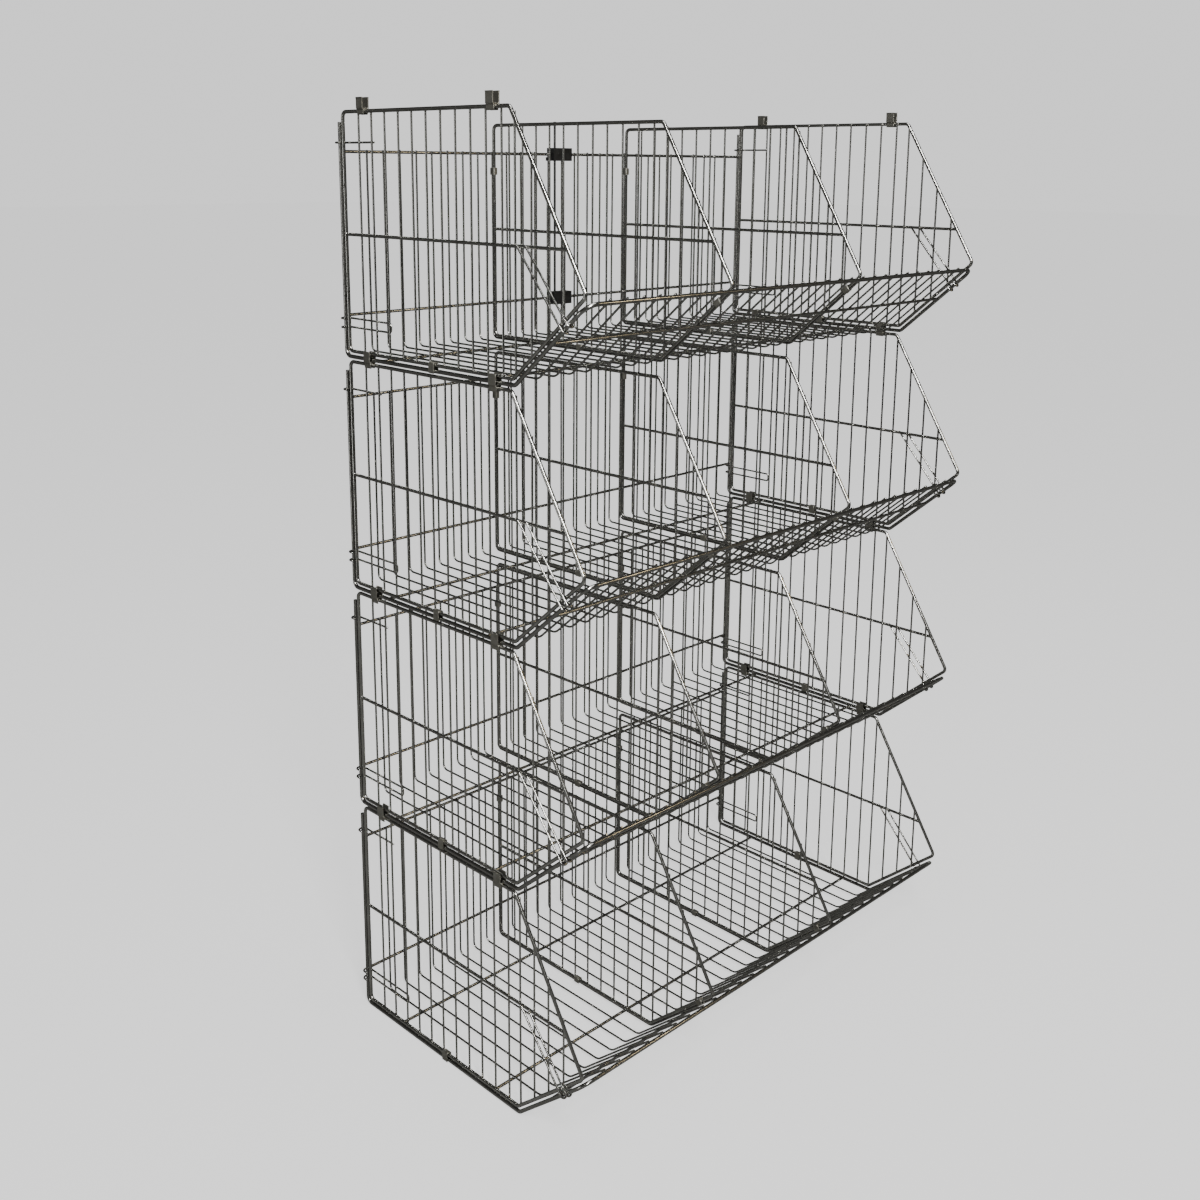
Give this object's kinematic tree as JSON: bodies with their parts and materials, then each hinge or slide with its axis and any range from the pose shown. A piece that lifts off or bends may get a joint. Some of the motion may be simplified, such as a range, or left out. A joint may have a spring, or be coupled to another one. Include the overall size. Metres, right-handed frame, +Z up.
{
  "type": "stacking wire mesh basket container",
  "caption": "Stack of open-fronted wire mesh baskets with five-sided end panels, sloping front lips, lift-out dividers and sheet-metal stacking clips.",
  "frame": {"origin": "middle of the base, on the floor, under the centre of the bounding box", "axes": "+Z up the stack, +X along the length from the left end panel to the right one, the open front faces -Y"},
  "size_m": [0.9174, 0.5244, 1.4583],
  "materials": {
    "wire": "bright zinc plated, polished",
    "sheet_clip": "zinc plated sheet, satin",
    "rod_clip": "matte black moulded plastic",
    "rod": "satin black coating"
  },
  "bodies": {
    "tier1": {"tier1_tray": "wire", "tier1_end_left": "wire", "tier1_floor_clip_left": "sheet_clip", "tier1_stack_clip_left_rear": "sheet_clip", "tier1_stack_clip_left_front": "sheet_clip", "tier1_end_right": "wire", "tier1_floor_clip_right": "sheet_clip", "tier1_stack_clip_right_rear": "sheet_clip", "tier1_stack_clip_right_front": "sheet_clip"},
    "tier2": {"tier2_tray": "wire", "tier2_end_left": "wire", "tier2_floor_clip_left": "sheet_clip", "tier2_stack_clip_left_rear": "sheet_clip", "tier2_stack_clip_left_front": "sheet_clip", "tier2_end_right": "wire", "tier2_floor_clip_right": "sheet_clip", "tier2_stack_clip_right_rear": "sheet_clip", "tier2_stack_clip_right_front": "sheet_clip"},
    "tier3": {"tier3_tray": "wire", "tier3_end_left": "wire", "tier3_floor_clip_left": "sheet_clip", "tier3_stack_clip_left_rear": "sheet_clip", "tier3_stack_clip_left_front": "sheet_clip", "tier3_end_right": "wire", "tier3_floor_clip_right": "sheet_clip", "tier3_stack_clip_right_rear": "sheet_clip", "tier3_stack_clip_right_front": "sheet_clip"},
    "tier4": {"tier4_tray": "wire", "tier4_end_left": "wire", "tier4_floor_clip_left": "sheet_clip", "tier4_stack_clip_left_rear": "sheet_clip", "tier4_stack_clip_left_front": "sheet_clip", "tier4_end_right": "wire", "tier4_floor_clip_right": "sheet_clip", "tier4_stack_clip_right_rear": "sheet_clip", "tier4_stack_clip_right_front": "sheet_clip", "rod_clip_upper": "rod_clip", "rod_clip_lower": "rod_clip"},
    "divider1_left": {"tier1_divider_left": "wire"},
    "divider1_right": {"tier1_divider_right": "wire"},
    "divider2_left": {"tier2_divider_left": "wire"},
    "divider2_right": {"tier2_divider_right": "wire"},
    "divider3_left": {"tier3_divider_left": "wire"},
    "divider3_right": {"tier3_divider_right": "wire"},
    "divider4_left": {"tier4_divider_left": "wire"},
    "divider4_right": {"tier4_divider_right": "wire"},
    "rod": {"sign_rod": "rod"}
  },
  "joints": [
    {"name": "tier2_lift", "type": "slide", "parent": "tier1", "child": "tier2", "axis": [0, 0, 1], "range_m": [0, 0.12]},
    {"name": "tier3_lift", "type": "slide", "parent": "tier2", "child": "tier3", "axis": [0, 0, 1], "range_m": [0, 0.12]},
    {"name": "tier4_lift", "type": "slide", "parent": "tier3", "child": "tier4", "axis": [0, 0, 1], "range_m": [0, 0.12]},
    {"name": "divider1_left_lift", "type": "slide", "parent": "tier1", "child": "divider1_left", "axis": [0, 0, 1], "range_m": [0, 0.012]},
    {"name": "divider1_right_lift", "type": "slide", "parent": "tier1", "child": "divider1_right", "axis": [0, 0, 1], "range_m": [0, 0.012]},
    {"name": "divider2_left_lift", "type": "slide", "parent": "tier2", "child": "divider2_left", "axis": [0, 0, 1], "range_m": [0, 0.012]},
    {"name": "divider2_right_lift", "type": "slide", "parent": "tier2", "child": "divider2_right", "axis": [0, 0, 1], "range_m": [0, 0.012]},
    {"name": "divider3_left_lift", "type": "slide", "parent": "tier3", "child": "divider3_left", "axis": [0, 0, 1], "range_m": [0, 0.012]},
    {"name": "divider3_right_lift", "type": "slide", "parent": "tier3", "child": "divider3_right", "axis": [0, 0, 1], "range_m": [0, 0.012]},
    {"name": "divider4_left_lift", "type": "slide", "parent": "tier4", "child": "divider4_left", "axis": [0, 0, 1], "range_m": [0, 0.35]},
    {"name": "divider4_right_lift", "type": "slide", "parent": "tier4", "child": "divider4_right", "axis": [0, 0, 1], "range_m": [0, 0.35]},
    {"name": "rod_lift", "type": "slide", "parent": "tier4", "child": "rod", "axis": [0, 0, 1], "range_m": [0, 0.2]}
  ]
}
